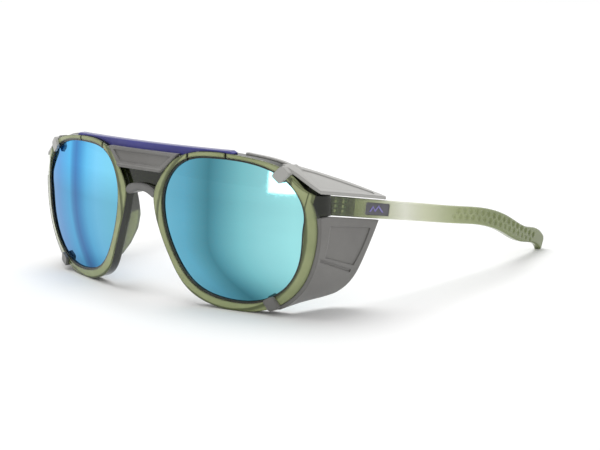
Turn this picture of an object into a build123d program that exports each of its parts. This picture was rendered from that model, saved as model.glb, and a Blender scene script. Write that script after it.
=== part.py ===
"""Glacier glasses: a wrap frame with mirrored lenses, folding temples and removable elastomer shields.

Millimetres. +Z is up, the lenses face -Y and the temples run back along +Y. X = 0 is the plane of
symmetry, and left is the wearer's left, +X. The glasses stand on the two rims and the two temple tips,
which touch Z = 0, and the origin is under the middle of the whole object.
"""
from build123d import *
from math import cos, radians, sin, tan
import os

# ---- driving dimensions -------------------------------------------------------------------------
OVERALL_DEPTH = 163.2       # from the foremost point of the front to the temple tips
FRONT = -OVERALL_DEPTH / 2  # Y of the foremost point; every depth below is counted back from it
WRAP_RADIUS = 169.0         # the front's face is part of a sphere of this radius
EYE_HEIGHT = 29.0           # height of the sphere's centre, level with the eyes
REACH = 45.0                # longer than any part of the front is deep

RIM_DEPTH = 4.2             # thickness of the rims, front to back
LENS_RECESS = 0.9           # the lens face lies this far behind the rim face
LENS_THICKNESS = 2.0
GROOVE_DEPTH = 0.9          # how far the lens reaches into the rim
FIT = 0.05                  # gap around a piece that is seated in another

HINGE_DEPTH = 21.5          # the joint between the end piece and the temple
PIN_X = 63.8                # the hinge pin stands on the inner side of the temple
PIN_RADIUS = 0.7
KNUCKLE_RADIUS = 1.5
TEMPLE_SLOPE = 10.2         # the temples run down towards the ears
TEMPLE_TOP = 40.6           # height of the temple's upper edge at the joint
TEMPLE_HEIGHT = 6.5
TEMPLE_THICKNESS = 4.2
TEMPLE_OUTER_X = 69.2       # the temple's outer face at the joint

SHIELD_THICKNESS = 1.2
HOOK_WIDTH = 4.0
HOOK_THICKNESS = 1.1

BAR_TOP = 54.1
BAR_HALF_LENGTH = 39.4
BAR_THICKNESS = 2.4
BAR_RADIUS = 270.0          # the bar is bent less than the front
BAR_DEPTH = 3.7             # its middle lies this far behind the foremost point

# ---- outlines, seen from the front (X, Z), left side -------------------------------------------
LENS_OPENING = [
    (64.3, 31.5), (62.6, 40.3), (56.4, 46.6), (46.2, 50.2), (32.0, 51.1), (19.5, 48.8),
    (12.6, 40.0), (12.4, 29.0), (16.8, 17.0), (24.6, 7.4), (37.0, 3.7), (50.3, 5.2),
    (59.5, 12.2), (63.4, 22.0),
]
RIM_OUTLINE = [
    (68.4, 33.5), (64.5, 42.8), (57.3, 49.3), (47.2, 52.1), (36.0, 53.2), (25.5, 52.9),
    (17.4, 50.5), (12.4, 46.3), (9.3, 42.0), (7.3, 38.0), (7.2, 34.4), (9.8, 25.4),
    (14.5, 14.8), (20.8, 5.4), (30.0, 1.0), (42.0, 0.0), (55.1, 3.4), (63.7, 11.5), (67.9, 22.5),
]
# The outer side of the rim alone, from under the lens to above it: the shields follow it.
RIM_SIDE = [
    (48.0, 1.1), (55.1, 3.4), (63.7, 11.5), (67.9, 22.5), (68.4, 33.5), (64.5, 42.8),
    (57.3, 49.3), (47.2, 52.1), (41.0, 52.9),
]

# ---- planes -------------------------------------------------------------------------------------
FACE = Plane((0, FRONT, 0), x_dir=(1, 0, 0), z_dir=(0, -1, 0))   # seen from the front: X, Z
PLAN = Plane((0, FRONT, 0), x_dir=(1, 0, 0), z_dir=(0, 0, 1))    # seen from above: X, depth
SIDE = Plane((0, FRONT, 0), x_dir=(0, 1, 0), z_dir=(1, 0, 0))    # seen from the left: depth, Z
WRAP_CENTRE = (0, FRONT + WRAP_RADIUS, EYE_HEIGHT)


def temple_top(depth):
    """Height of the temple's straight upper edge at a depth behind the front."""
    return TEMPLE_TOP - (depth - HINGE_DEPTH) * tan(radians(TEMPLE_SLOPE))


def closed_spline(points, grow=0.0, plane=FACE):
    """A sketch bounded by one smooth closed curve, grown outwards from an anticlockwise loop."""
    with BuildSketch(plane) as outline:
        with BuildLine():
            guide = Spline(*points, periodic=True, mode=Mode.PRIVATE)
            shares = [index / (2 * len(points)) for index in range(2 * len(points))]
            places = [(guide.position_at(share), guide.tangent_at(share)) for share in shares]
            Spline(*[(p.X + grow * t.Y, p.Y - grow * t.X) for p, t in places], periodic=True)
        make_face()
    return outline.sketch


def spline_loop(*curves, plane=FACE):
    """A sketch bounded by smooth curves and straight lines that meet end to end."""
    with BuildSketch(plane) as outline:
        with BuildLine():
            for points in curves:
                if len(points) == 2:
                    Line(*points)
                else:
                    Spline(*points)
        make_face()
    return outline.sketch


def polygon(points, plane=FACE, grow=0.0):
    """A sketch bounded by straight lines, grown outwards."""
    with BuildSketch(plane) as outline:
        with BuildLine():
            Polyline(*points, close=True)
        make_face()
        if grow > 0:
            offset(amount=grow, kind=Kind.INTERSECTION)
    return outline.sketch


def band(points, near, far, plane=FACE):
    """A sketch of the strip between two offsets from a smooth open curve, with + to its right."""
    with BuildSketch(plane) as strip:
        with BuildLine():
            guide = Spline(*points, mode=Mode.PRIVATE)
            shares = [index / (2 * len(points)) for index in range(2 * len(points) + 1)]
            places = [(guide.position_at(share), guide.tangent_at(share)) for share in shares]
            sides = []
            for shift in (near, far):
                sides.append([(p.X + shift * t.Y, p.Y - shift * t.X) for p, t in places])
            inner = Spline(*sides[0])
            outer = Spline(*sides[1])
            Line(inner @ 0, outer @ 0)
            Line(inner @ 1, outer @ 1)
        make_face()
    return strip.sketch


def wrap_shell(near, far):
    """The layer between two depths behind the wrapped front face."""
    with BuildPart() as layer:
        with Locations(WRAP_CENTRE):
            Sphere(WRAP_RADIUS - near)
            Sphere(WRAP_RADIUS - far, mode=Mode.SUBTRACT)
    return layer.part


def finish(part, name):
    """Label a piece and write it."""
    part.label = name
    export_step(part, f"parts/{name}.step")


def finish_pair(part, name):
    """Write a left piece and its mirror image on the right."""
    finish(part, f"{name}_left")
    with BuildPart() as twin:
        mirror(part, about=Plane.YZ)
    finish(twin.part, f"{name}_right")


os.makedirs("parts", exist_ok=True)

# ---- hinges: two leaves with interlocking knuckles on a screw ------------------------------------------
KNUCKLE_HEIGHTS = [(34.8, 36.4), (36.5, 38.3), (38.4, 40.0)]   # foot, middle and top knuckle
LEAF_THICKNESS = 0.9
SWING_GAP = 0.25            # room round a knuckle that another piece turns about
FRONT_LEAF = [(63.4, 20.3), (64.9, 19.9), (64.1, 17.3), (65.0, 17.0), (66.3, 20.9), (64.9, 21.2)]
TEMPLE_LEAF_WEB = [(63.6, 22.4), (64.6, 21.8), (66.3, 22.6), (66.4, 24.6), (65.3, 24.6)]
TEMPLE_LEAF_X = 65.35
TEMPLE_LEAF_DEPTHS = (22.8, 35.2)
TEMPLE_LEAF_LEAN = 0.2      # the plate follows the temple outwards by this much
LEAF_MARGIN = 0.85          # between the plate's long edges and the temple's
LEAF_CORNER = 0.5
WINDOW_SIZE = (2.2, 1.0)    # two columns of three windows in the temple leaf's plate
WINDOW_PITCH = (3.9, 1.55)
HEAD_RADIUS = 1.3
HEAD_HEIGHT = 0.7
SLOT_WIDTH = 0.35

foot_knuckle, middle_knuckle, top_knuckle = KNUCKLE_HEIGHTS
hinge_low = foot_knuckle[0]
hinge_high = top_knuckle[1]


def pin_cylinder(radius, low, high):
    """A cylinder round the hinge pin between two heights."""
    with BuildPart() as round_bar:
        with BuildSketch(PLAN.offset(low)):
            with Locations((PIN_X, HINGE_DEPTH)):
                Circle(radius)
        extrude(amount=high - low)
    return round_bar.part


def plan_block(points, low, high, grow=0.0):
    """A block with its outline seen from above, between two heights."""
    with BuildPart() as block:
        extrude(polygon(points, PLAN.offset(low - grow), grow), amount=high - low + 2 * grow)
    return block.part


def temple_frame(depth):
    """A side-view plane on the temple's middle line, with its X along the temple."""
    origin = SIDE.from_local_coords((depth, temple_top(depth) - TEMPLE_HEIGHT / 2, 0))
    slope = radians(TEMPLE_SLOPE)
    return Plane(origin, x_dir=(0, cos(slope), -sin(slope)), z_dir=(1, 0, 0))


def leaf_plate(grow=0.0, inward=0.0):
    """The temple leaf's plate without its windows, grown all round and further towards the head."""
    near, far = TEMPLE_LEAF_DEPTHS
    inner_xs = (TEMPLE_LEAF_X - inward, TEMPLE_LEAF_X + TEMPLE_LEAF_LEAN - inward)
    outer_xs = (TEMPLE_LEAF_X + LEAF_THICKNESS, TEMPLE_LEAF_X + TEMPLE_LEAF_LEAN + LEAF_THICKNESS)
    plan = [(inner_xs[0], near), (outer_xs[0], near), (outer_xs[1], far), (inner_xs[1], far)]
    with BuildPart() as plate:
        extrude(polygon(plan, PLAN, grow), amount=REACH + 15)
        with BuildSketch(temple_frame((near + far) / 2)):
            width = far - near + 2 * grow
            height = TEMPLE_HEIGHT - 2 * LEAF_MARGIN + 2 * grow
            RectangleRounded(width, height, LEAF_CORNER + grow)
        extrude(amount=REACH * 2, mode=Mode.INTERSECT)
    return plate.part


with BuildPart() as hinge_front_leaf:
    add(plan_block(FRONT_LEAF, hinge_low, hinge_high))
    add(pin_cylinder(KNUCKLE_RADIUS, hinge_low, hinge_high))
    middle_room = (foot_knuckle[1], top_knuckle[0])
    add(pin_cylinder(KNUCKLE_RADIUS + SWING_GAP, *middle_room), mode=Mode.SUBTRACT)
    add(pin_cylinder(PIN_RADIUS + FIT, 0, REACH), mode=Mode.SUBTRACT)

with BuildPart() as hinge_temple_leaf:
    add(plan_block(TEMPLE_LEAF_WEB, *middle_knuckle))
    add(leaf_plate())
    with BuildSketch(temple_frame(sum(TEMPLE_LEAF_DEPTHS) / 2 - 1.2)):
        with GridLocations(*WINDOW_PITCH, 2, 3):
            Rectangle(*WINDOW_SIZE)
    extrude(amount=REACH * 2, mode=Mode.SUBTRACT)
    for low, high in ((0, middle_knuckle[0]), (middle_knuckle[1], REACH)):
        add(pin_cylinder(KNUCKLE_RADIUS + SWING_GAP, low, high), mode=Mode.SUBTRACT)
    add(pin_cylinder(KNUCKLE_RADIUS, *middle_knuckle))
    add(pin_cylinder(PIN_RADIUS + FIT, 0, REACH), mode=Mode.SUBTRACT)

with BuildPart() as hinge_screw:
    add(pin_cylinder(PIN_RADIUS, hinge_low, hinge_high))
    add(pin_cylinder(HEAD_RADIUS, hinge_high, hinge_high + HEAD_HEIGHT))
    with BuildSketch(PLAN.offset(hinge_high + HEAD_HEIGHT / 2)):
        with Locations((PIN_X, HINGE_DEPTH)):
            Rectangle(3 * HEAD_RADIUS, SLOT_WIDTH)
    extrude(amount=HEAD_HEIGHT, mode=Mode.SUBTRACT)

finish_pair(hinge_front_leaf.part, "hinge_front_leaf")
finish_pair(hinge_temple_leaf.part, "hinge_temple_leaf")
finish_pair(hinge_screw.part, "hinge_screw")

# ---- brow bar: it lies on the tops of the rims and fills the gap between them -------------------------
BAR_SHAPE = [(15.0, 50.7), (19.5, 50.7), (24.0, 52.2), (BAR_HALF_LENGTH, 52.2), (BAR_HALF_LENGTH, 53.4)]
BAR_BEVEL = 0.35


def bar_layer(near, far):
    """The layer between two cylinders round the bar's centre of curvature."""
    with BuildPart() as layer:
        with Locations((0, FRONT + BAR_DEPTH + BAR_RADIUS, 50)):
            Cylinder(BAR_RADIUS - near, 40)
            Cylinder(BAR_RADIUS - far, 40, mode=Mode.SUBTRACT)
    return layer.part


with BuildPart() as rim_rest:
    extrude(closed_spline(RIM_OUTLINE, FIT), amount=-REACH)

with BuildPart() as brow_bar:
    right_end = BAR_SHAPE + [(BAR_HALF_LENGTH - 1.4, BAR_TOP)]
    extrude(polygon(right_end + [(-x, z) for x, z in reversed(right_end)]), amount=-REACH)
    add(bar_layer(0, BAR_THICKNESS), mode=Mode.INTERSECT)
    top_edges = brow_bar.edges().group_by(Axis.Z)[-1]
    chamfer(top_edges.sort_by(Axis.Y)[0], BAR_BEVEL)
    add(rim_rest.part, mode=Mode.SUBTRACT)
    mirror(rim_rest.part, about=Plane.YZ, mode=Mode.SUBTRACT)

finish(brow_bar.part, "brow_bar")

# ---- front frame: rims, nose pads, bridge and end pieces in one moulding ---------------------------
PAD_PROFILE = [
    (1.8, 37.6), (7.2, 36.6), (9.6, 31.5), (12.4, 26.0), (13.2, 20.5), (11.6, 15.0), (8.8, 11.2),
    (5.5, 10.5), (3.4, 14.0), (2.0, 22.0),
]
PAD_CURVE = [(17.6, 9.5), (13.4, 17.0), (9.8, 25.4), (7.4, 33.5), (7.0, 39.5)]
PAD_SPLAY = 3.4             # how far a pad's rear edge stands outside its front edge
PAD_THICKNESS = 3.0
PAD_FRONT = 0.8
PAD_BACK = 13.5

with BuildPart() as nose_pad:
    with BuildSketch(FACE.offset(-PAD_FRONT)):
        add(band(PAD_CURVE, 0, PAD_THICKNESS, Plane.XY))
    with BuildSketch(FACE.offset(-PAD_BACK)):
        add(band([(x + PAD_SPLAY, z) for x, z in PAD_CURVE], 0, PAD_THICKNESS, Plane.XY))
    loft(ruled=True)
    extrude(polygon(PAD_PROFILE, SIDE), amount=REACH, mode=Mode.INTERSECT)

JOINT_GAP = 0.2             # between the end piece and the temple
TEMPLE_INNER_X = TEMPLE_OUTER_X - TEMPLE_THICKNESS
END_PIECE_BACK = HINGE_DEPTH - JOINT_GAP
END_PIECE_OUTSIDE = [(60.8, 11.5), (64.8, 13.2), (67.8, 16.0), (TEMPLE_OUTER_X, END_PIECE_BACK)]
END_PIECE_INSIDE = [(TEMPLE_INNER_X, END_PIECE_BACK), (63.8, 18.0), (61.2, 15.4), (58.6, 14.3)]
END_PIECE_TOP = [(57.5, 48.6), (60.6, 46.4), (64.0, 43.4), (67.0, 41.6), (71.0, 40.6)]
END_PIECE_FOOT = [(71.0, 34.1), (66.5, 34.1), (57.5, 32.5)]

with BuildPart() as end_piece:
    ends = [[END_PIECE_OUTSIDE[-1], END_PIECE_INSIDE[0]], [END_PIECE_INSIDE[-1], END_PIECE_OUTSIDE[0]]]
    extrude(
        spline_loop(END_PIECE_OUTSIDE, ends[0], END_PIECE_INSIDE, ends[1], plane=PLAN),
        amount=REACH + 15,
    )
    sides = [[END_PIECE_TOP[-1], END_PIECE_FOOT[0]], [END_PIECE_FOOT[-1], END_PIECE_TOP[0]]]
    extrude(
        spline_loop(END_PIECE_TOP, sides[0], END_PIECE_FOOT, sides[1]),
        amount=-REACH,
        mode=Mode.INTERSECT,
    )

BRIDGE_OUTLINE = [
    (-10.8, 47.0), (10.8, 47.0), (10.8, 40.0), (9.0, 37.0), (6.8, 35.6), (4.6, 38.2), (1.6, 39.5),
    (-1.6, 39.5), (-4.6, 38.2), (-6.8, 35.6), (-9.0, 37.0), (-10.8, 40.0),
]
BRIDGE_RECESS = 2.4         # the bridge lies this far behind the rims' face
NOTCH_XS = (21.6, 36.7)     # thin slots across the top of each rim's face
NOTCH_WIDTH = 0.7
NOTCH_DEPTH = 0.8
STEP_WIDTH = 0.7            # a narrow sunk border runs round the lens
STEP_DEPTH = 0.45
BEVEL_RADIUS = 28.0         # the rims' face is bevelled outside this circle round the lens centre
BEVEL_SPHERE = 110.0
LENS_CENTRE_X = 37.8

with BuildPart() as bridge:
    extrude(polygon(BRIDGE_OUTLINE), amount=-REACH)
    add(wrap_shell(BRIDGE_RECESS, BRIDGE_RECESS + RIM_DEPTH), mode=Mode.INTERSECT)

with BuildPart() as opening:
    extrude(closed_spline(LENS_OPENING), amount=-REACH)
    add(wrap_shell(-1, RIM_DEPTH), mode=Mode.INTERSECT)

with BuildPart() as step:
    extrude(closed_spline(LENS_OPENING, STEP_WIDTH), amount=-REACH)
    add(wrap_shell(-1, STEP_DEPTH), mode=Mode.INTERSECT)

with BuildPart() as groove:
    extrude(closed_spline(LENS_OPENING, GROOVE_DEPTH), amount=-REACH)
    groove_back = LENS_RECESS + LENS_THICKNESS + FIT
    add(wrap_shell(LENS_RECESS - FIT, groove_back), mode=Mode.INTERSECT)

with BuildPart() as notches:
    for notch_x in NOTCH_XS:
        with BuildSketch(FACE):
            with Locations((notch_x, 52.0)):
                Rectangle(NOTCH_WIDTH, 5.0)
        extrude(amount=-REACH)
    add(wrap_shell(-1, NOTCH_DEPTH), mode=Mode.INTERSECT)

# The bevel is a smaller sphere through the bevel circle, on the line from the wrap's centre to the lens.
lens_turn = Vector(LENS_CENTRE_X, -(WRAP_RADIUS**2 - LENS_CENTRE_X**2) ** 0.5, 0).normalized()
centre_gap = (WRAP_RADIUS**2 - BEVEL_RADIUS**2) ** 0.5 - (BEVEL_SPHERE**2 - BEVEL_RADIUS**2) ** 0.5
bevel_centre = Vector(*WRAP_CENTRE) + lens_turn * centre_gap

with BuildPart() as half_front:
    extrude(closed_spline(RIM_OUTLINE), amount=-REACH)
    add(wrap_shell(0, RIM_DEPTH), mode=Mode.INTERSECT)
    with Locations(bevel_centre):
        Sphere(BEVEL_SPHERE, mode=Mode.INTERSECT)
    add(nose_pad.part)
    add(end_piece.part)
    for tool in (opening, step, groove, notches):
        add(tool.part, mode=Mode.SUBTRACT)
    add(plan_block(FRONT_LEAF, hinge_low, hinge_high, FIT), mode=Mode.SUBTRACT)
    add(pin_cylinder(KNUCKLE_RADIUS + SWING_GAP, 0, REACH), mode=Mode.SUBTRACT)

with BuildPart() as front_frame:
    add(half_front.part)
    mirror(half_front.part, about=Plane.YZ)
    add(bridge.part)
    with BuildSketch(Plane.XY):
        Rectangle(300, 300)
    extrude(amount=-10, mode=Mode.SUBTRACT)

# ---- lenses ---------------------------------------------------------------------------------------
with BuildPart() as lens:
    extrude(closed_spline(LENS_OPENING, GROOVE_DEPTH - FIT), amount=-REACH)
    add(wrap_shell(LENS_RECESS, LENS_RECESS + LENS_THICKNESS), mode=Mode.INTERSECT)

finish_pair(lens.part, "lens")

# ---- nose shield: a raised border round a sunk panel, with a lip along the bottom -------------------
SHIELD_OUTLINE = [(-17.4, 51.5), (17.4, 51.5), (10.5, 44.8), (-10.5, 44.8)]
SHIELD_PROFILE = [
    (0.2, 45.6), (0.2, 44.8), (1.4, 44.8), (2.2, 46.0), (3.6, 49.4), (9.0, 49.4), (9.0, 51.5),
    (2.2, 51.5), (0.8, 46.1),
]
PANEL_OUTLINE = [(-14.6, 50.4), (14.6, 50.4), (10.2, 46.6), (-10.2, 46.6)]
PANEL_PROFILE = [(0.0, 46.5), (1.4, 46.5), (2.4, 50.5), (0.0, 50.5)]

with BuildPart() as panel:
    extrude(polygon(PANEL_OUTLINE), amount=-REACH)
    extrude(polygon(PANEL_PROFILE, SIDE), amount=REACH, both=True, mode=Mode.INTERSECT)

with BuildPart() as nose_shield:
    extrude(polygon(SHIELD_OUTLINE), amount=-REACH)
    extrude(polygon(SHIELD_PROFILE, SIDE), amount=REACH, both=True, mode=Mode.INTERSECT)
    add(panel.part, mode=Mode.SUBTRACT)
    add(bar_layer(-FIT, REACH), mode=Mode.SUBTRACT)

finish(nose_shield.part, "nose_shield")

# ---- bridge clip: a saddle that hooks under the bridge ----------------------------------------------
CLIP_PROFILE = [(0.7, 34.0), (0.7, 40.2), (2.3, 40.2), (2.3, 39.4), (6.8, 39.4), (6.8, 34.0)]
CLIP_OUTLINE = [
    (7.0, 38.4), (4.6, 39.5), (1.6, 40.0), (-1.6, 40.0), (-4.6, 39.5), (-7.0, 38.4), (-7.7, 36.8),
    (-6.6, 35.6), (-4.4, 36.3), (-1.6, 37.2), (1.6, 37.2), (4.4, 36.3), (6.6, 35.6), (7.7, 36.8),
]
CLIP_EASE = 0.5

with BuildPart() as bridge_clip:
    extrude(closed_spline(CLIP_OUTLINE), amount=-REACH)
    extrude(polygon(CLIP_PROFILE, SIDE), amount=REACH, both=True, mode=Mode.INTERSECT)
    chamfer(bridge_clip.edges().group_by(Axis.Y)[0], CLIP_EASE)
    add(front_frame.part, mode=Mode.SUBTRACT)

finish(bridge_clip.part, "bridge_clip")

finish(front_frame.part, "front_frame")

# ---- temples ----------------------------------------------------------------------------------------
SECTION_PITCH = 17.8
SECTION_COUNT = 10          # the first lies in front of the joint, and is cut off there
STRAIGHT_SECTIONS = 6       # the rest bend down behind the ear
TIP_HEIGHTS = [(24.7, 18.3), (19.2, 13.0), (12.0, 6.2), (5.2, -0.6)]    # top and foot of each
FOOT_LEADS = [0, 0, 0.8, 1.1, 1.1, 1.1, 1.6, 2.9, 3.1, 2.7]   # each section leans, its foot forward
INNER_XS = [64.6, 65.0, 65.4, 65.7, 66.0, 66.2, 66.3, 65.4, 63.3, 60.4]
OUTER_XS = [68.7, 69.2, 69.7, 69.9, 70.1, 70.2, 70.0, 68.9, 66.6, 63.6]
TEMPLE_EASE = 0.9           # rounding along the temple's long edges
TIP_END = [(160.0, 9.0), (162.4, 6.4), (OVERALL_DEPTH, 3.6), (162.4, 1.2), (160.4, 0.0)]

section_depths = [HINGE_DEPTH + SECTION_PITCH * (index - 1) for index in range(SECTION_COUNT)]
TEMPLE_OUTSIDE = [(x, depth - lead / 2) for x, depth, lead in zip(OUTER_XS, section_depths, FOOT_LEADS)]

DIMPLE_BALL = 1.8           # radius of the ball that presses the grip dimples
DIMPLE_DEPTH = 0.4
DIMPLE_COUNT = 16           # in each row
DIMPLE_ROWS = [
    [(92.2, 26.1), (108.8, 23.1), (123.4, 18.7), (138.0, 13.2), (152.0, 7.7)],
    [(89.6, 24.4), (106.1, 21.4), (120.8, 17.1), (136.0, 11.3), (149.0, 6.1)],
]

BADGE_DEPTHS = (38.9, 51.7)
BADGE_HEIGHT = 4.1
BADGE_CORNER = 0.5
BADGE_SET = 0.2             # the badge's face lies this far below the temple's face
BADGE_THICKNESS = 0.8
MARK_DEPTH = 0.3            # how deep the mark is let into the badge
MARK_RELIEF = 0.1           # how far it stands out of it
MARK_OUTLINE = [
    (-4.4, -1.0), (-2.6, 1.1), (-1.3, -0.3), (0.4, 1.4), (3.4, -1.0), (2.5, -1.0), (0.4, 0.6),
    (-1.2, -1.0), (-2.5, 0.3), (-3.5, -1.0),
]


def temple_skin(near, far):
    """The layer between two offsets from the temple's outer face, with + outwards."""
    with BuildPart() as skin:
        extrude(band(TEMPLE_OUTSIDE, near, far, PLAN), amount=REACH + 15)
    return skin.part


def badge_shape(grow=0.0):
    """The badge's outline, carried through the whole object."""
    length = BADGE_DEPTHS[1] - BADGE_DEPTHS[0]
    with BuildPart() as bar:
        with BuildSketch(temple_frame(sum(BADGE_DEPTHS) / 2)):
            RectangleRounded(length + 2 * grow, BADGE_HEIGHT + 2 * grow, BADGE_CORNER + grow)
        extrude(amount=REACH * 2)
    return bar.part


def outer_x(depth):
    """X of the temple's outer face at a depth."""
    for (near_x, near), (far_x, far) in zip(TEMPLE_OUTSIDE, TEMPLE_OUTSIDE[1:]):
        if near <= depth <= far:
            return near_x + (far_x - near_x) * (depth - near) / (far - near)
    return far_x


with BuildPart() as badge_mark:
    with BuildSketch(temple_frame(sum(BADGE_DEPTHS) / 2)):
        with BuildLine():
            Polyline(*MARK_OUTLINE, close=True)
        make_face()
    extrude(amount=REACH * 2)
    add(temple_skin(-BADGE_SET - MARK_DEPTH, -BADGE_SET + MARK_RELIEF), mode=Mode.INTERSECT)

with BuildPart() as badge:
    add(badge_shape())
    add(temple_skin(-BADGE_SET - BADGE_THICKNESS, -BADGE_SET), mode=Mode.INTERSECT)
    add(badge_mark.part, mode=Mode.SUBTRACT)

with BuildPart() as badge_pocket:
    add(badge_shape(FIT))
    add(temple_skin(-BADGE_SET - BADGE_THICKNESS - FIT, 1), mode=Mode.INTERSECT)

with BuildPart() as dimple_balls:
    for row in DIMPLE_ROWS:
        guide = Spline(*row, mode=Mode.PRIVATE)
        for index in range(DIMPLE_COUNT):
            place = guide.position_at(index / (DIMPLE_COUNT - 1))
            ball_x = outer_x(place.X) + DIMPLE_BALL - DIMPLE_DEPTH
            with Locations((ball_x, FRONT + place.X, place.Y)):
                Sphere(DIMPLE_BALL)

with BuildPart() as temple:
    for index, depth in enumerate(section_depths):
        foot_depth = depth - FOOT_LEADS[index]
        if index < STRAIGHT_SECTIONS:
            top_height, foot_height = temple_top(depth), temple_top(foot_depth) - TEMPLE_HEIGHT
        else:
            top_height, foot_height = TIP_HEIGHTS[index - STRAIGHT_SECTIONS]
        rise = Vector(0, depth - foot_depth, top_height - foot_height)
        middle_x = (INNER_XS[index] + OUTER_XS[index]) / 2
        middle = Vector(middle_x, FRONT + foot_depth, foot_height) + rise / 2
        with BuildSketch(Plane(middle, x_dir=(1, 0, 0), z_dir=Vector(1, 0, 0).cross(rise))):
            RectangleRounded(OUTER_XS[index] - INNER_XS[index], rise.length, TEMPLE_EASE)
    loft()
    corners = [TIP_END[-1], (HINGE_DEPTH, 0), (HINGE_DEPTH, REACH), (TIP_END[0][0], REACH), TIP_END[0]]
    side_edges = list(zip(corners, corners[1:]))
    extrude(spline_loop(TIP_END, *side_edges, plane=SIDE), amount=REACH * 2, mode=Mode.INTERSECT)
    add(dimple_balls.part, mode=Mode.SUBTRACT)
    add(badge_pocket.part, mode=Mode.SUBTRACT)
    add(leaf_plate(FIT, TEMPLE_THICKNESS), mode=Mode.SUBTRACT)
    add(plan_block(TEMPLE_LEAF_WEB, *middle_knuckle, FIT), mode=Mode.SUBTRACT)
    add(pin_cylinder(KNUCKLE_RADIUS + SWING_GAP, 0, REACH), mode=Mode.SUBTRACT)

finish_pair(temple.part, "temple")
finish_pair(badge.part, "badge")
finish_pair(badge_mark.part, "badge_mark")

# ---- side shields: a wall below the temple and a roof over it, hooked on the rim ------------------------
SHIELD_FRONT = 15.5         # forward of this depth the shield follows the rim
SHIELD_REAR = 52.0
WALL_FRONT = RIM_SIDE[:4] + [(68.4, 34.5)]
WALL_REAR = [(64.0, 2.0), (66.0, 9.0), (67.0, 17.0), (67.2, 25.0), (66.6, 34.5)]
WALL_EDGE = 0.6             # the wall's front edge stands this far behind the rim's face
WALL_LIP = [(33.0, 4.9), (29.7, 4.3), (24.7, 3.9), (19.4, 3.6), (16.0, 3.0), (12.0, 2.0), (6.0, 1.0)]
WALL_TAIL = [(47.6, 28.95), (45.2, 25.4), (42.1, 20.2), (39.9, 15.4), (37.6, 9.6), (33.0, 4.9)]
WALL_HEAD = [(6.0, 34.0), (20.3, 33.95)]
ROOF_FRONT = [(70.4, 41.5), (66.6, 43.5), (63.0, 46.0), (59.4, 48.3), (54.4, 50.6)]
ROOF_REAR = [(70.4, 35.4), (68.0, 35.6), (66.4, 36.0), (65.0, 36.6), (63.5, 37.6)]
ROOF_THICKNESS = 1.0
ROOF_INSIDE = [(56.4, 10.0), (57.0, 16.0), (58.4, 25.0), (60.4, 33.5), (63.6, 44.0), (66.2, 50.4)]
ROOF_TIP = [(66.2, 50.4), (67.8, 51.2), (69.4, 50.2)]
ROOF_OUTSIDE_X = 69.3
GROOVE_RELIEF = 0.35        # depth of the lines and panels pressed into the shield
WALL_PANEL = [(20.8, 30.7), (42.8, 26.9), (35.9, 14.9), (19.3, 20.4)]
WALL_CREASE = [(16.8, 20.2), (16.8, 19.4), (35.0, 12.6), (35.3, 13.5), (19.3, 19.4)]
ROOF_PANEL = [
    (59.2, 17.0), (68.1, 17.0), (67.9, 46.0), (66.3, 46.6), (64.3, 40.5), (61.8, 31.5), (60.0, 24.0),
]
SEAT = 0.05                 # gap between the shield and the rim it is hooked on
FLANGE_THICKNESS = 1.25
FLANGE_STAND = 0.45         # how far the flange shows outside the rim
FLANGE_WIDTH = 3.6
FLANGE_STRIP = [(60.0, 24.0), (66.1, 24.0), (66.1, 30.0), (62.3, 30.0), (62.3, 45.8), (59.8, 48.2)]
FLANGE_BREAK = [(62.3, 30.0), (75.0, 30.0), (75.0, 46.5), (62.3, 46.5)]
HOOK_PLACES = [((55.8, 45.9), 48.0, 4.7), ((52.2, 5.9), -60.0, 4.3)]   # lip end, direction, length
HOOK_CORNER = 0.9


def shield_skin(front_points, rear_points, near, far):
    """A layer of a shield's surface, lofted from the rim back towards the ear."""
    with BuildPart() as skin:
        with BuildSketch(FACE.offset(-SHIELD_FRONT)) as front_band:
            add(band(front_points, near, far, Plane.XY))
        with BuildSketch(FACE.offset(-SHIELD_REAR)):
            add(band(rear_points, near, far, Plane.XY))
        loft(ruled=True)
        extrude(front_band.sketch, amount=SHIELD_FRONT)
    return skin.part


def carried(sketch):
    """An outline on a side-view or plan plane, carried through the left half."""
    with BuildPart() as block:
        extrude(sketch, amount=REACH * 2)
    return block.part


def pressing(sketch, front_points, rear_points, thickness):
    """The part of a shield's outer layer inside an outline, to be pressed in."""
    with BuildPart() as tool:
        add(carried(sketch))
        outer_skin = (thickness - GROOVE_RELIEF, thickness + 1)
        add(shield_skin(front_points, rear_points, *outer_skin), mode=Mode.INTERSECT)
    return tool.part


with BuildPart() as rim_room:
    extrude(closed_spline(RIM_OUTLINE, SEAT), amount=-REACH)
    add(wrap_shell(-SEAT, RIM_DEPTH + SEAT), mode=Mode.INTERSECT)

with BuildPart() as shield_wall:
    add(shield_skin(WALL_FRONT, WALL_REAR, -0.2, SHIELD_THICKNESS))
    for outline in (WALL_PANEL, WALL_CREASE):
        pressed = pressing(polygon(outline, SIDE), WALL_FRONT, WALL_REAR, SHIELD_THICKNESS)
        add(pressed, mode=Mode.SUBTRACT)
    tail_top = [WALL_HEAD[1], WALL_TAIL[0]]
    nose_line = [WALL_LIP[-1], WALL_HEAD[0]]
    wall_side = spline_loop(WALL_HEAD, tail_top, WALL_TAIL, WALL_LIP, nose_line, plane=SIDE)
    add(carried(wall_side), mode=Mode.INTERSECT)
    add(wrap_shell(WALL_EDGE, REACH * 2), mode=Mode.INTERSECT)

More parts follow.
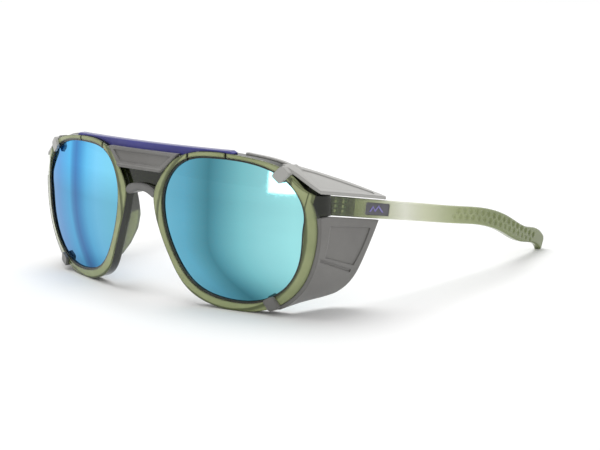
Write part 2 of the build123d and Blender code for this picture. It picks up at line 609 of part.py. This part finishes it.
with BuildPart() as shield_roof:
    add(shield_skin(ROOF_FRONT, ROOF_REAR, 0, ROOF_THICKNESS))
    pressed = pressing(polygon(ROOF_PANEL, PLAN), ROOF_FRONT, ROOF_REAR, ROOF_THICKNESS)
    add(pressed, mode=Mode.SUBTRACT)
    roof_corner = (ROOF_OUTSIDE_X, ROOF_INSIDE[0][1])
    roof_edges = [[ROOF_TIP[-1], roof_corner], [roof_corner, ROOF_INSIDE[0]]]
    roof_plan = spline_loop(ROOF_INSIDE, ROOF_TIP, *roof_edges, plane=PLAN)
    add(carried(roof_plan), mode=Mode.INTERSECT)
    add(wrap_shell(WALL_EDGE, REACH * 2), mode=Mode.INTERSECT)

with BuildPart() as shield_flange:
    with BuildSketch(FACE):
        add(band(RIM_SIDE, -FLANGE_WIDTH, FLANGE_STAND, Plane.XY))
        add(polygon(FLANGE_BREAK, Plane.XY), mode=Mode.SUBTRACT)
        add(polygon(FLANGE_STRIP, Plane.XY))
    extrude(amount=-REACH)
    flange_near = RIM_DEPTH + SEAT
    add(wrap_shell(flange_near, flange_near + FLANGE_THICKNESS), mode=Mode.INTERSECT)

with BuildPart() as shield_hooks:
    for lip_end, direction, length in HOOK_PLACES:
        with BuildSketch(FACE):
            with Locations(Location((*lip_end, 0), (0, 0, direction))):
                RectangleRounded(length, HOOK_WIDTH, HOOK_CORNER, align=(Align.MIN, Align.CENTER))
        extrude(amount=-REACH)
    hook_back = RIM_DEPTH + SEAT + FLANGE_THICKNESS
    add(wrap_shell(-SEAT - HOOK_THICKNESS, hook_back), mode=Mode.INTERSECT)

with BuildPart() as side_shield:
    add(shield_wall.part)
    add(shield_roof.part)
    add(shield_flange.part)
    add(shield_hooks.part)
    add(rim_room.part, mode=Mode.SUBTRACT)

finish_pair(side_shield.part, "side_shield")
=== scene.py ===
"""Glacier glasses on a pale table: looks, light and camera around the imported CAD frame.

Metres, in the CAD frame: +Z is up, the lenses face -Y and +X is the wearer's left.
"""
from math import cos, radians, sin

import bpy
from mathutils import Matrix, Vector


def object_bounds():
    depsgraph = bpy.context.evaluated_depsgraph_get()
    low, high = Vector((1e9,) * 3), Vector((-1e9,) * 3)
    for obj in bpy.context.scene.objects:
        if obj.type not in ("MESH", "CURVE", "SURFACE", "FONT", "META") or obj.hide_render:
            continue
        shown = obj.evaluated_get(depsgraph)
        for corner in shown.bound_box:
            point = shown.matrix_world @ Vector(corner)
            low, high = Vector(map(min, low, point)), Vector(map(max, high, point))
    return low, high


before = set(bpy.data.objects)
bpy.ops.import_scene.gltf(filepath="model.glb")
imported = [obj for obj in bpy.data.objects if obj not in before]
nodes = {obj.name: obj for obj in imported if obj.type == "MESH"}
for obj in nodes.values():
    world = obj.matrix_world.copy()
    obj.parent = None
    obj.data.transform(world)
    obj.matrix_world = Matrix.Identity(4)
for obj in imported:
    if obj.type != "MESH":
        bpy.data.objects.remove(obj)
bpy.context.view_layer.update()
low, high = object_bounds()
front_y = low.y             # the foremost point of the glasses
top_z = high.z

# Where noise, which stays near a half, is taken to begin and end.
NOISE_LOW = 0.3
NOISE_HIGH = 0.7

# ---- camera -----------------------------------------------------------------------------------------
CAMERA_AZIMUTH = radians(41.31)
CAMERA_ELEVATION = radians(10.94)
CAMERA_OFFSET = (0.3486, -0.3120, 0.1151)   # from the foremost point, at floor level
CAMERA_LENS = 81.63         # focal length, mm
CAMERA_SENSOR = 36.0
CAMERA_CLIP = 0.01

view_back = Vector((
    sin(CAMERA_AZIMUTH) * cos(CAMERA_ELEVATION),
    -cos(CAMERA_AZIMUTH) * cos(CAMERA_ELEVATION),
    sin(CAMERA_ELEVATION),
))
camera_data = bpy.data.cameras.new("camera")
camera_data.lens = CAMERA_LENS
camera_data.sensor_width = CAMERA_SENSOR
camera_data.clip_start = CAMERA_CLIP
camera = bpy.data.objects.new("camera", camera_data)
camera.location = Vector((0, front_y, 0)) + Vector(CAMERA_OFFSET)
camera.rotation_euler = view_back.to_track_quat("Z", "Y").to_euler()
bpy.context.scene.collection.objects.link(camera)
bpy.context.scene.camera = camera


# ---- material helpers -------------------------------------------------------------------------------
class Shader:
    """A material with a Principled BSDF, and short calls for the nodes that feed it."""

    def __init__(self, name, **values):
        self.material = bpy.data.materials.new(name)
        self.material.use_nodes = True
        self.tree = self.material.node_tree
        self.bsdf = self.tree.nodes["Principled BSDF"]
        for socket, value in values.items():
            self.bsdf.inputs[socket.replace("_", " ")].default_value = value
        self.place = self.add("ShaderNodeTexCoord").outputs["Object"]

    def add(self, kind, **settings):
        node = self.tree.nodes.new(kind)
        for key, value in settings.items():
            setattr(node, key, value)
        return node

    def feed(self, socket, source):
        self.tree.links.new(source, socket)

    def value(self, socket, source):
        """Put a constant in a socket, or link a socket to it."""
        if isinstance(source, bpy.types.NodeSocket):
            self.feed(socket, source)
        else:
            socket.default_value = source

    def noise(self, scale, detail=4.0, roughness=0.5, stretch=(1, 1, 1)):
        """Noise in the object's own space; scale is in features per metre."""
        mapping = self.add("ShaderNodeMapping")
        mapping.inputs["Scale"].default_value = stretch
        self.feed(mapping.inputs["Vector"], self.place)
        noise = self.add("ShaderNodeTexNoise")
        noise.inputs["Scale"].default_value = scale
        noise.inputs["Detail"].default_value = detail
        noise.inputs["Roughness"].default_value = roughness
        self.feed(noise.inputs["Vector"], mapping.outputs["Vector"])
        return noise.outputs["Fac"]

    def ramp(self, source, stops):
        """A colour ramp: stops are (position, colour)."""
        ramp = self.add("ShaderNodeValToRGB")
        elements = ramp.color_ramp.elements
        while len(elements) < len(stops):
            elements.new(0.5)
        for element, (position, colour) in zip(elements, stops):
            element.position = position
            element.color = (*colour, 1)
        self.feed(ramp.inputs["Fac"], source)
        return ramp.outputs["Color"]

    def scaled(self, source, low_value, high_value, low_in=0.0, high_in=1.0):
        """Map a 0 to 1 value to a range."""
        node = self.add("ShaderNodeMapRange")
        node.inputs["From Min"].default_value = low_in
        node.inputs["From Max"].default_value = high_in
        node.inputs["To Min"].default_value = low_value
        node.inputs["To Max"].default_value = high_value
        self.feed(node.inputs["Value"], source)
        return node.outputs["Result"]

    def mix(self, factor, first, second):
        """Mix two colours, each a socket or an RGB value."""
        node = self.add("ShaderNodeMix", data_type="RGBA")
        self.value(node.inputs["Factor"], factor)
        for socket, source in ((node.inputs["A"], first), (node.inputs["B"], second)):
            if not isinstance(source, bpy.types.NodeSocket):
                source = (*source, 1)
            self.value(socket, source)
        return node.outputs["Result"]

    def bump(self, height, strength, distance, ease=0.0):
        """Push the surface's normal by a height in metres times distance, over eased edges."""
        node = self.add("ShaderNodeBump")
        node.inputs["Strength"].default_value = strength
        node.inputs["Distance"].default_value = distance
        self.feed(node.inputs["Height"], height)
        if ease:
            self.feed(node.inputs["Normal"], self.rounded(ease))
        self.feed(self.bsdf.inputs["Normal"], node.outputs["Normal"])

    def rounded(self, radius):
        """The surface's normal, with its edges eased to a radius in metres."""
        ease = self.add("ShaderNodeBevel", samples=6)
        ease.inputs["Radius"].default_value = radius
        return ease.outputs["Normal"]

    def edges(self, radius, sharp=0.80, flat=0.985):
        """1 on the object's edges, falling to 0 at about a radius from them."""
        node = self.add("ShaderNodeVectorMath", operation="DOT_PRODUCT")
        self.feed(node.inputs[0], self.rounded(radius))
        self.feed(node.inputs[1], self.add("ShaderNodeNewGeometry").outputs["True Normal"])
        return self.scaled(node.outputs["Value"], 1.0, 0.0, sharp, flat)

    def axis(self, index):
        """One coordinate of the object's own space, in metres."""
        split = self.add("ShaderNodeSeparateXYZ")
        self.feed(split.inputs["Vector"], self.place)
        return split.outputs[index]

    def distance(self, point):
        """Distance from a point, in metres."""
        node = self.add("ShaderNodeVectorMath", operation="DISTANCE")
        self.feed(node.inputs[0], self.place)
        node.inputs[1].default_value = point
        return node.outputs["Value"]

    def math(self, operation, first, second=0.0):
        node = self.add("ShaderNodeMath", operation=operation)
        self.value(node.inputs[0], first)
        self.value(node.inputs[1], second)
        return node.outputs["Value"]

    def below(self, centre, radius):
        """How deep a point lies inside a sphere, with the glasses' right half folded onto the left."""
        folded = self.add("ShaderNodeCombineXYZ")
        self.feed(folded.inputs["X"], self.math("ABSOLUTE", self.axis(0)))
        self.feed(folded.inputs["Y"], self.axis(1))
        self.feed(folded.inputs["Z"], self.axis(2))
        node = self.add("ShaderNodeVectorMath", operation="DISTANCE")
        self.feed(node.inputs[0], folded.outputs["Vector"])
        node.inputs[1].default_value = centre
        return self.math("SUBTRACT", radius, node.outputs["Value"])

    def paint(self, colour):
        self.feed(self.bsdf.inputs["Base Color"], colour)

    def clouded(self, source, dark, light):
        """Paint with two colours, from the low and the high of a noise."""
        self.paint(self.ramp(source, [(NOISE_LOW, dark), (NOISE_HIGH, light)]))

    def rough(self, source, smooth, coarse, low_in=NOISE_LOW, high_in=NOISE_HIGH):
        """Vary the roughness between two values with a noise."""
        self.feed(self.bsdf.inputs["Roughness"], self.scaled(source, smooth, coarse, low_in, high_in))

    def absorb(self, colour, density):
        """Tint what passes through the solid; density is per metre."""
        node = self.add("ShaderNodeVolumeAbsorption")
        node.inputs["Color"].default_value = (*colour, 1)
        node.inputs["Density"].default_value = density
        output = self.tree.nodes["Material Output"]
        self.feed(output.inputs["Volume"], node.outputs["Volume"])


def dress(material, *names):
    """Give a material to CAD nodes or pieces."""
    for name in names:
        target = nodes.get(name) or bpy.data.objects[name]
        target.data.materials.clear()
        target.data.materials.append(material)


def pair(name):
    return f"{name}_left", f"{name}_right"


# ---- materials --------------------------------------------------------------------------------------
# The front's face and its bevel are parts of two spheres; the moulding is pale and satin on them and
# glassy behind them, where its colour is painted shade: nearly black near the face, lighter further
# back.
OVERALL_DEPTH = 0.1632
WRAP_RADIUS = 0.169
EYE_HEIGHT = 0.029
BEVEL_SPHERE = 0.110
BEVEL_RADIUS = 0.028
LENS_CENTRE_X = 0.0378
wrap_centre = Vector((0, high.y - OVERALL_DEPTH + WRAP_RADIUS, EYE_HEIGHT))
lens_turn = Vector((LENS_CENTRE_X, -((WRAP_RADIUS**2 - LENS_CENTRE_X**2) ** 0.5), 0)).normalized()
centre_gap = (WRAP_RADIUS**2 - BEVEL_RADIUS**2) ** 0.5 - (BEVEL_SPHERE**2 - BEVEL_RADIUS**2) ** 0.5
bevel_centre = wrap_centre + lens_turn * centre_gap


def crystal(name, transmission):
    """A translucent olive moulding; its colour is still to be fed."""
    shader = Shader(
        name,
        IOR=1.45,
        Specular_IOR_Level=0.35,
        Coat_Weight=0.12,
        Coat_Roughness=0.05,
        Transmission_Weight=transmission,
    )
    shader.rough(shader.noise(420, 5.0), 0.07, 0.17)
    shader.bump(shader.noise(260, 3.0), 0.12, 0.0002, 0.0007)
    return shader


# Depths below the face, distances from an edge and places, in metres.
FACE_SPAN = (0.00030, 0.00042)      # the face's colour gives way to the sides' painted shade
DEEP_SPAN = (0.0002, 0.0092)        # the sides' painted shade, front to back
BEVEL_DEPTH = 0.0006
# Widths of the painted dark bands along the face's and the sides' edges.
FACE_EDGE = 0.0011
SIDE_EDGE = 0.0008
END_PIECE_SHADE_FADE = (0.056, 0.059)     # outwards from the middle
BRIDGE_SHADE_FADE = (0.0275, 0.0285)      # upwards from the floor

olive = crystal("olive_crystal", 0.6)
olive.absorb((0.50, 0.56, 0.26), 420.0)
cloud = olive.noise(110, 3.0, 0.55)
outward = olive.math("ABSOLUTE", olive.axis(0))
under_wrap = olive.below(wrap_centre, WRAP_RADIUS)
face = olive.math("MINIMUM", under_wrap, olive.below(bevel_centre, BEVEL_SPHERE))
depth_share = olive.scaled(face, 0.0, 1.0, *DEEP_SPAN)
pale = olive.ramp(cloud, [(0.35, (0.40, 0.45, 0.215)), (0.7, (0.50, 0.55, 0.28))])
# On the bevel a painted dark streak stands for the moulding's far side showing through, with a pale
# one outside it: painted shade and reflection.
bevel_share = olive.scaled(under_wrap, 0.0, 1.0, 0.0, BEVEL_DEPTH)
painted_streaks = olive.ramp(bevel_share, [
    (0.02, (0.0, 0.0, 0.0)), (0.08, (0.85, 0.85, 0.85)), (0.20, (0.75, 0.75, 0.75)),
    (0.30, (0.0, 0.0, 0.0)), (0.62, (0.1, 0.1, 0.1)), (0.85, (0.7, 0.7, 0.7)),
])
pale = olive.mix(painted_streaks, pale, (0.085, 0.105, 0.040))
# Painted shade: dark bands along the face's edges.
edge_shaded_face = olive.mix(olive.edges(FACE_EDGE), pale, (0.10, 0.12, 0.05))
# Painted shade on the sides behind the face: nearly black just behind it, lighter further back where
# light would come through.
painted_side_shade = olive.ramp(depth_share, [
    (0.0, (0.08, 0.10, 0.04)), (0.08, (0.012, 0.016, 0.006)), (0.36, (0.025, 0.032, 0.012)),
    (0.46, (0.15, 0.18, 0.08)), (1.0, (0.34, 0.39, 0.19)),
])
# Painted shade: the bridge, the tops of the pads, the end pieces and the sides' edges are painted
# nearly black.
black_shade = olive.math(
    "MAXIMUM",
    olive.scaled(outward, 0.0, 1.0, *END_PIECE_SHADE_FADE),
    olive.scaled(olive.axis(2), 0.0, 1.0, *BRIDGE_SHADE_FADE),
)
black_shade = olive.math("MAXIMUM", black_shade, olive.edges(SIDE_EDGE))
painted_side_shade = olive.mix(black_shade, painted_side_shade, (0.020, 0.026, 0.009))
at_face = olive.scaled(face, 1.0, 0.0, *FACE_SPAN)
olive.paint(olive.mix(at_face, painted_side_shade, edge_shaded_face))
olive.feed(olive.bsdf.inputs["Transmission Weight"], olive.scaled(at_face, 0.70, 0.30))
dress(olive.material, "front_frame")

# The temples are milkier along the middle and clear at the hinge; their colour darkens towards both
# ends and carries a painted highlight across the middle.
milky = crystal("olive_temple", 0.5)
milky.absorb((0.52, 0.58, 0.30), 170.0)
along = milky.scaled(milky.axis(1), 0.0, 1.0, low.y, high.y)
# Darker towards the hinge and the tip, with a painted highlight around the middle.
body_and_highlight = milky.ramp(along, [
    (0.12, (0.15, 0.18, 0.08)), (0.21, (0.28, 0.32, 0.15)), (0.27, (0.52, 0.56, 0.34)),
    (0.37, (0.96, 0.97, 0.84)), (0.44, (0.78, 0.81, 0.58)), (0.56, (0.42, 0.47, 0.23)),
    (0.72, (0.27, 0.32, 0.13)), (1.0, (0.20, 0.24, 0.09)),
])
swirl = milky.ramp(
    milky.noise(60, 3.0, 0.5),
    [(NOISE_LOW, (0.90, 0.90, 0.88)), (NOISE_HIGH, (1.0, 1.0, 1.0))],
)
tinted = milky.add("ShaderNodeMix", data_type="RGBA", blend_type="MULTIPLY")
tinted.inputs["Factor"].default_value = 1.0
milky.feed(tinted.inputs["A"], body_and_highlight)
milky.feed(tinted.inputs["B"], swirl)
milky.paint(tinted.outputs["Result"])
clearness = milky.scaled(along, 0.85, 0.22, 0.18, 0.30)
milky.feed(milky.bsdf.inputs["Transmission Weight"], clearness)
dress(milky.material, *pair("temple"))


LENS_INNER = 0.012          # where the tints begin and end, outwards from the middle of the glasses
LENS_OUTER = 0.064
TOP_REFLECTION_HEIGHTS = (0.031, 0.042)  # the heights that the painted reflection on the top of a lens fades in over


def mirror_lens(name, coat, bend_height, bend, top_reflection, stops):
    """A mirror-coated lens: its tint, the coating's colour with painted reflection in it, runs in soft
    upright bands, a dark one among them, that swing aside towards the foot, and its top can be
    brightened by painted reflection.
    """
    lens = Shader(name, Metallic=1.0, Coat_Weight=coat, Coat_Roughness=0.02)
    under = lens.math("MAXIMUM", lens.math("SUBTRACT", bend_height, lens.axis(2)), 0.0)
    swing = lens.math("MULTIPLY", lens.math("MULTIPLY", under, under), bend)
    wave = lens.scaled(lens.noise(40, 2.0), -0.0008, 0.0008)
    across = lens.math("ADD", lens.math("ABSOLUTE", lens.axis(0)), lens.math("ADD", swing, wave))
    tint_and_reflection = lens.ramp(lens.scaled(across, 0.0, 1.0, LENS_INNER, LENS_OUTER), stops)
    reflection_lifted = lens.add("ShaderNodeVectorMath", operation="SCALE")
    lens.feed(reflection_lifted.inputs["Vector"], tint_and_reflection)
    lens.feed(reflection_lifted.inputs["Scale"], lens.scaled(lens.axis(2), 1.0, top_reflection, *TOP_REFLECTION_HEIGHTS))
    lens.paint(reflection_lifted.outputs["Vector"])
    lens.rough(lens.noise(700, 4.0), 0.03, 0.07, 0.35)
    return lens.material


# The turquoise lens: its dark band is painted reflection, and it is painted brighter outwards.
dress(
    mirror_lens("mirror_turquoise", 0.6, 0.024, -42.0, 1.0, [
        (0.04, (0.11, 0.40, 0.55)), (0.16, (0.09, 0.36, 0.50)), (0.27, (0.06, 0.27, 0.35)),
        (0.345, (0.035, 0.20, 0.26)), (0.41, (0.065, 0.28, 0.35)), (0.59, (0.17, 0.50, 0.55)),
        (0.73, (0.24, 0.60, 0.64)), (0.94, (0.31, 0.72, 0.74)),
    ]),
    "lens_left",
)
# The blue lens: its dark band and its brighter top are painted reflection.
dress(
    mirror_lens("mirror_blue", 0.05, 0.030, 12.0, 1.5, [
        (0.12, (0.14, 0.44, 0.60)), (0.27, (0.13, 0.43, 0.64)), (0.40, (0.075, 0.36, 0.60)),
        (0.50, (0.020, 0.20, 0.44)), (0.56, (0.008, 0.13, 0.35)), (0.61, (0.010, 0.18, 0.41)),
        (0.66, (0.025, 0.31, 0.58)), (0.86, (0.008, 0.20, 0.49)),
    ]),
    "lens_right",
)

# Grey elastomer, with the fine grain of its mould and a paler bloom where it is handled.
elastomer = Shader("grey_elastomer", Specular_IOR_Level=0.45, Sheen_Weight=0.25, Sheen_Roughness=0.5)
mould_grain = elastomer.noise(2600, 3.0, 0.7)
bloom = elastomer.noise(60, 4.0, 0.6)
grey = elastomer.ramp(bloom, [(0.3, (0.135, 0.130, 0.122)), (0.75, (0.185, 0.180, 0.170))])
# Painted light: the upper parts of the side shields and hooks are painted paler, as lit from above;
# the nose shield lies inside both limits.
LIT_TOP_HEIGHTS = (0.0345, 0.0365)
LIT_TOP_WIDTHS = (0.030, 0.040)
painted_top_light = elastomer.math(
    "MULTIPLY",
    elastomer.scaled(elastomer.axis(2), 0.0, 1.0, *LIT_TOP_HEIGHTS),
    elastomer.scaled(elastomer.math("ABSOLUTE", elastomer.axis(0)), 0.0, 1.0, *LIT_TOP_WIDTHS),
)
elastomer.paint(elastomer.mix(painted_top_light, grey, (0.40, 0.395, 0.375)))
elastomer.rough(bloom, 0.42, 0.58)
elastomer.bump(mould_grain, 0.25, 0.0001, 0.0006)
dress(elastomer.material, "nose_shield", *pair("side_shield"))

# The brow bar is indigo, with a painted highlight strip along its upper edge.
indigo = Shader("indigo_elastomer", Specular_IOR_Level=0.45, Sheen_Weight=0.2, Sheen_Roughness=0.4)
HIGHLIGHT_STRIP = 0.00012
STRIP_FADE = 0.0001
strip_foot = top_z - HIGHLIGHT_STRIP
# Painted highlight along the bar's top edge.
painted_highlight = indigo.scaled(indigo.axis(2), 0.0, 1.0, strip_foot - STRIP_FADE, strip_foot)
dark = indigo.ramp(
    indigo.noise(80, 4.0),
    [(NOISE_LOW, (0.030, 0.030, 0.20)), (NOISE_HIGH, (0.045, 0.045, 0.27))],
)
indigo.paint(indigo.mix(painted_highlight, dark, (0.16, 0.16, 0.30)))
indigo.rough(indigo.noise(500, 3.0), 0.35, 0.5)
indigo.bump(indigo.noise(2400, 2.0), 0.2, 0.0001, 0.0004)
dress(indigo.material, "brow_bar")

# The clip over the bridge is the same elastomer, smoother and a little darker.
clip = Shader("clip_elastomer", Specular_IOR_Level=0.5, Coat_Weight=0.2, Coat_Roughness=0.25)
clip.clouded(clip.noise(120, 3.0), (0.105, 0.103, 0.098), (0.15, 0.147, 0.14))
clip.rough(clip.noise(600, 3.0), 0.32, 0.45)
clip.bump(clip.noise(1800, 2.0), 0.15, 0.0001, 0.0006)
dress(clip.material, "bridge_clip")


ROUGHNESS_SPREAD = 0.16


def metal(name, dark, light, grain_stretch, smooth):
    """Brushed metal: fine parallel scratches along one axis."""
    steel = Shader(name, Metallic=1.0)
    brushed = steel.noise(900, 6.0, 0.7, grain_stretch)
    steel.clouded(brushed, dark, light)
    steel.rough(brushed, smooth, smooth + ROUGHNESS_SPREAD)
    steel.bump(brushed, 0.2, 0.00005)
    return steel.material


leaf_metal = metal("hinge_alloy", (0.55, 0.55, 0.52), (0.74, 0.74, 0.70), (1, 0.1, 1), 0.24)
screw_metal = metal("screw_steel", (0.40, 0.40, 0.41), (0.62, 0.62, 0.63), (1, 1, 0.1), 0.18)
dress(leaf_metal, *pair("hinge_front_leaf"), *pair("hinge_temple_leaf"))
dress(screw_metal, *pair("hinge_screw"))

plate = Shader("badge_grey", Specular_IOR_Level=0.5)
plate_cloud = plate.noise(240, 4.0)
plate.clouded(plate_cloud, (0.060, 0.058, 0.070), (0.10, 0.10, 0.115))
plate.rough(plate_cloud, 0.3, 0.45)
plate.bump(plate.noise(3000, 2.0), 0.2, 0.00008)
dress(plate.material, *pair("badge"))

inlay = Shader("indigo_inlay", Coat_Weight=0.8, Coat_Roughness=0.1)
inlay.clouded(inlay.noise(300, 3.0), (0.12, 0.10, 0.34), (0.20, 0.17, 0.48))
inlay.rough(inlay.noise(900, 3.0), 0.2, 0.35)
dress(inlay.material, *pair("badge_mark"))

# ---- floor ------------------------------------------------------------------------------------------
FLOOR_SIZE = 3.0
FLOOR_DROP = 0.0001
FLOOR_FADE = (0.20, 0.60)   # the paper fades to plain white between these distances


def flat_mesh(name, corners):
    mesh = bpy.data.meshes.new(name)
    mesh.from_pydata(corners, [], [tuple(range(len(corners)))])
    mesh.update()
    thing = bpy.data.objects.new(name, mesh)
    bpy.context.scene.collection.objects.link(thing)
    return thing


floor = flat_mesh("floor", [
    (-FLOOR_SIZE, -FLOOR_SIZE, -FLOOR_DROP), (FLOOR_SIZE, -FLOOR_SIZE, -FLOOR_DROP),
    (FLOOR_SIZE, FLOOR_SIZE, -FLOOR_DROP), (-FLOOR_SIZE, FLOOR_SIZE, -FLOOR_DROP),
])
paper = Shader("paper", Roughness=0.9, Specular_IOR_Level=0.1)
away = paper.distance((0, 0, 0))
fibre = paper.ramp(
    paper.noise(14, 3.0),
    [(NOISE_LOW, (0.90, 0.90, 0.90)), (NOISE_HIGH, (0.92, 0.92, 0.92))],
)
fade = paper.scaled(away, 0.0, 1.0, *FLOOR_FADE)
paper.paint(paper.mix(fade, fibre, (0, 0, 0)))
paper.bsdf.inputs["Emission Color"].default_value = (1, 1, 1, 1)
paper.feed(paper.bsdf.inputs["Emission Strength"], fade)
floor.data.materials.append(paper.material)

# ---- light ------------------------------------------------------------------------------------------
world = bpy.data.worlds.new("studio")
world.use_nodes = True
sky = world.node_tree.nodes["Background"]
sky.inputs["Color"].default_value = (1, 1, 1, 1)
FILL = 0.72                 # the world's share of the light that falls on matt surfaces
path = world.node_tree.nodes.new("ShaderNodeLightPath")
share = world.node_tree.nodes.new("ShaderNodeMapRange")
share.inputs["To Min"].default_value = 1.0
share.inputs["To Max"].default_value = FILL
world.node_tree.links.new(path.outputs["Is Diffuse Ray"], share.inputs["Value"])
world.node_tree.links.new(share.outputs["Result"], sky.inputs["Strength"])
bpy.context.scene.world = world
bpy.context.scene.view_settings.view_transform = "Standard"


def softbox(name, place, aim, size, power):
    """A rectangular lamp at a place, turned to a point."""
    lamp = bpy.data.lights.new(name, "AREA")
    lamp.shape = "RECTANGLE"
    lamp.size, lamp.size_y = size
    lamp.energy = power
    thing = bpy.data.objects.new(name, lamp)
    thing.location = place
    thing.rotation_euler = (Vector(place) - Vector(aim)).to_track_quat("Z", "Y").to_euler()
    bpy.context.scene.collection.objects.link(thing)


middle = (0, 0, top_z / 2)
softbox("overhead", (-0.25, 0.05, 0.95), middle, (0.7, 0.7), 5.9)
softbox("window", (0.02, -1.3, 0.045), (0.055, front_y, 0.045), (0.20, 0.18), 0.30)
